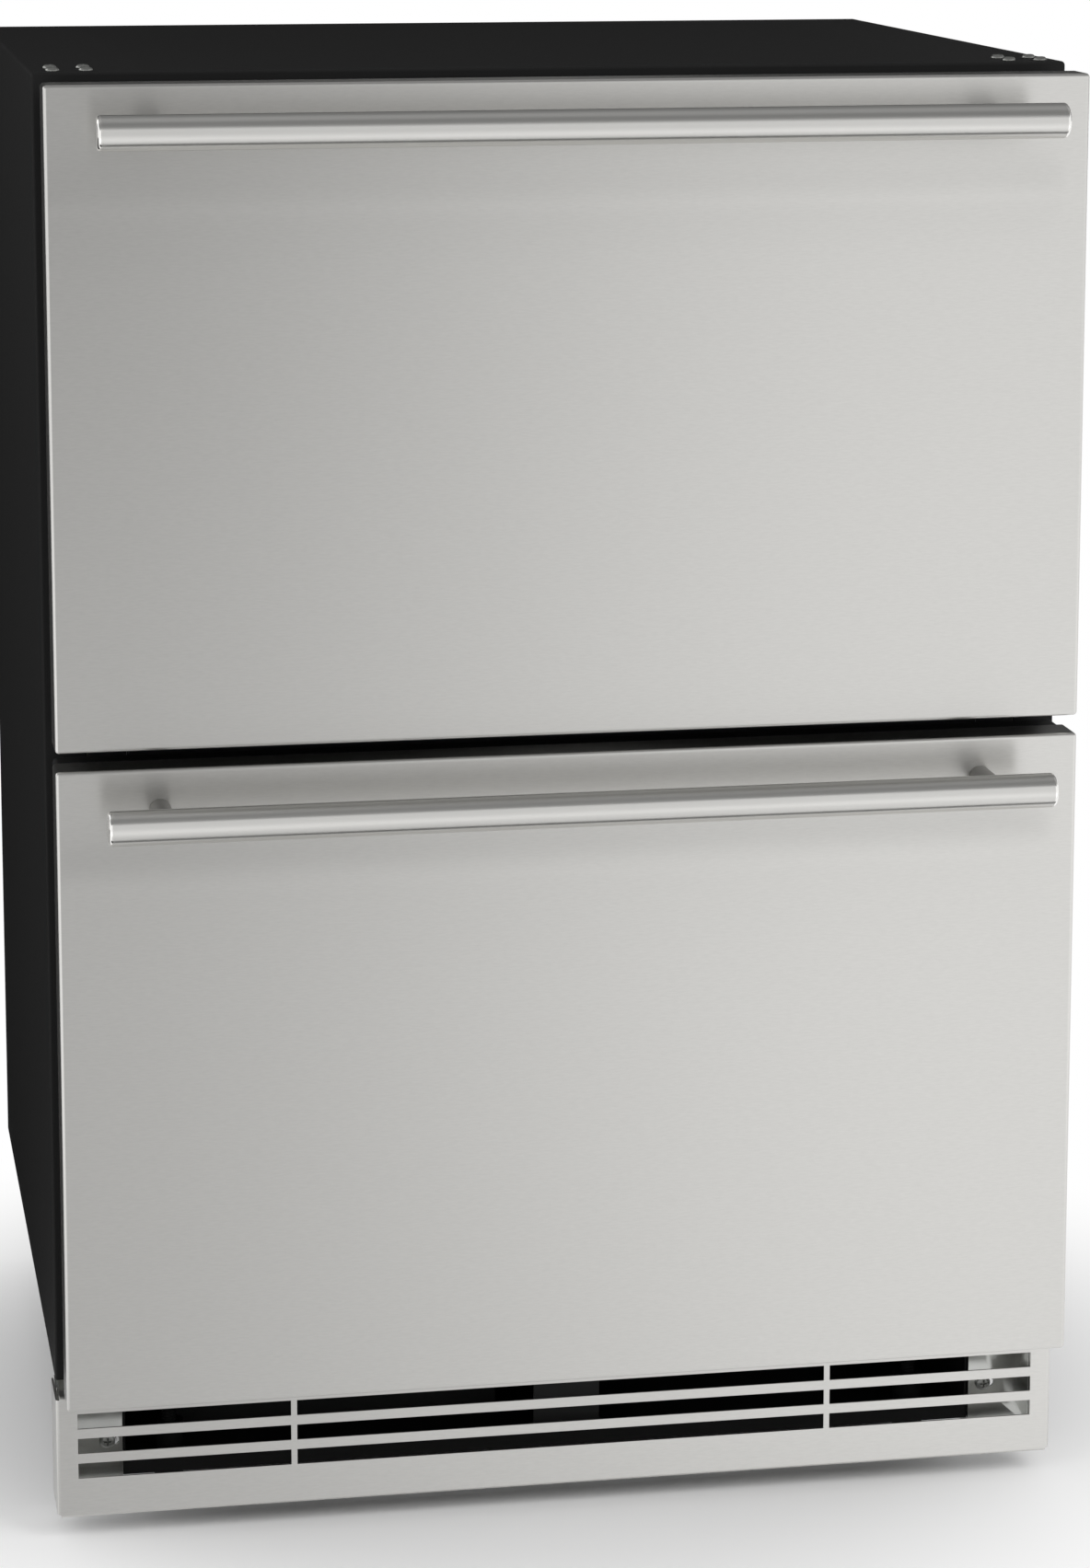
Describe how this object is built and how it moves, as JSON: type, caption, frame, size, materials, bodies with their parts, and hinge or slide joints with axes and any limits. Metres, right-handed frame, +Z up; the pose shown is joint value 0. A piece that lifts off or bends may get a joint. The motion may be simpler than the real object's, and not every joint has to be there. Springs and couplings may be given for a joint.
{
  "type": "undercounter drawer refrigerator",
  "caption": "Undercounter refrigerator with stacked full-width stainless drawers, bar handles, black cabinet and slotted toe-kick grille.",
  "frame": {"origin": "on the floor under the middle of the whole box, handles included", "axes": "+Z up, +X to the right seen from the front, drawers open towards -Y"},
  "size_m": [0.608, 0.61, 0.8693],
  "materials": {
    "stainless": "satin",
    "handle_stainless": "satin",
    "black_paint": "satin",
    "black_plastic": "matte",
    "gloss_black": "gloss",
    "rubber": "matte",
    "galvanised": "satin",
    "zinc": "satin",
    "grey_plastic": "matte",
    "bin_plastic": "satin",
    "white_plastic": "satin",
    "foam": "matte",
    "coil_metal": "satin",
    "lamp_lens": "satin"
  },
  "bodies": {
    "cabinet": {"outer_shell": "black_paint", "back_panel": "galvanised", "cabinet_bottom": "galvanised", "compartment_wall": "galvanised", "inner_liner": "white_plastic", "foam_insulation": "foam", "mullion_rail": "black_plastic", "base_pan": "black_paint", "toe_kick_grille": "stainless", "top_screws_left": "zinc", "grille_bracket_left": "zinc", "bracket_screw_left": "zinc", "top_screws_right": "zinc", "grille_bracket_right": "zinc", "bracket_screw_right": "zinc", "compressor": "black_paint", "condenser_coil": "coil_metal", "fan_shroud": "black_plastic", "condenser_fan_motor": "galvanised", "air_baffle": "black_plastic", "drain_pan": "black_plastic", "control_box": "grey_plastic", "power_inlet": "black_plastic", "evaporator_cover": "white_plastic", "evaporator_coil": "coil_metal", "evaporator_fan_motor": "black_plastic", "interior_lamp": "lamp_lens", "touch_panel": "gloss_black", "upper_slide_outer_left": "zinc", "upper_slide_outer_right": "zinc", "lower_slide_outer_left": "zinc", "lower_slide_outer_right": "zinc"},
    "condenser_fan": {"condenser_fan_wheel": "black_plastic"},
    "evaporator_fan": {"evaporator_fan_wheel": "white_plastic"},
    "front_left_leg": {"leg_front_left": "black_paint"},
    "front_right_leg": {"leg_front_right": "black_paint"},
    "rear_left_leg": {"leg_rear_left": "black_paint"},
    "rear_right_leg": {"leg_rear_right": "black_paint"},
    "upper_drawer": {"upper_front_skin": "stainless", "upper_front_body": "black_plastic", "upper_gasket": "rubber", "upper_handle_bar": "handle_stainless", "upper_handle_post_left": "handle_stainless", "upper_handle_post_right": "handle_stainless", "upper_bin": "bin_plastic", "upper_slide_inner_left": "zinc", "upper_slide_inner_right": "zinc"},
    "upper_slide_middles": {"upper_slide_middle_left": "zinc", "upper_slide_middle_right": "zinc"},
    "lower_drawer": {"lower_front_skin": "stainless", "lower_front_body": "black_plastic", "lower_gasket": "rubber", "lower_handle_bar": "handle_stainless", "lower_handle_post_left": "handle_stainless", "lower_handle_post_right": "handle_stainless", "lower_bin": "bin_plastic", "lower_slide_inner_left": "zinc", "lower_slide_inner_right": "zinc"},
    "lower_slide_middles": {"lower_slide_middle_left": "zinc", "lower_slide_middle_right": "zinc"}
  },
  "joints": [
    {"name": "upper_drawer_slide", "type": "slide", "parent": "cabinet", "child": "upper_drawer", "axis": [0, -1, 0], "range_m": [0, 0.38]},
    {"name": "upper_slide_extension", "type": "slide", "parent": "cabinet", "child": "upper_slide_middles", "axis": [0, -1, 0], "range_m": [0, 0.19]},
    {"name": "lower_drawer_slide", "type": "slide", "parent": "cabinet", "child": "lower_drawer", "axis": [0, -1, 0], "range_m": [0, 0.38]},
    {"name": "lower_slide_extension", "type": "slide", "parent": "cabinet", "child": "lower_slide_middles", "axis": [0, -1, 0], "range_m": [0, 0.19]},
    {"name": "condenser_fan_spin", "type": "hinge", "parent": "cabinet", "child": "condenser_fan", "pos_m": [0.12625, 0.2156, 0.0998], "axis": [1, 0, 0], "continuous": true},
    {"name": "evaporator_fan_spin", "type": "hinge", "parent": "cabinet", "child": "evaporator_fan", "pos_m": [0, 0.2, 0.7383], "axis": [0, 1, 0], "continuous": true},
    {"name": "front_left_leg_adjust", "type": "slide", "parent": "cabinet", "child": "front_left_leg", "axis": [0, 0, -1], "range_m": [0, 0.025]},
    {"name": "front_right_leg_adjust", "type": "slide", "parent": "cabinet", "child": "front_right_leg", "axis": [0, 0, -1], "range_m": [0, 0.025]},
    {"name": "rear_left_leg_adjust", "type": "slide", "parent": "cabinet", "child": "rear_left_leg", "axis": [0, 0, -1], "range_m": [0, 0.025]},
    {"name": "rear_right_leg_adjust", "type": "slide", "parent": "cabinet", "child": "rear_right_leg", "axis": [0, 0, -1], "range_m": [0, 0.025]}
  ],
  "couplings": [
    {"joint": "upper_slide_extension", "follows": "upper_drawer_slide", "ratio": 0.5},
    {"joint": "lower_slide_extension", "follows": "lower_drawer_slide", "ratio": 0.5}
  ]
}
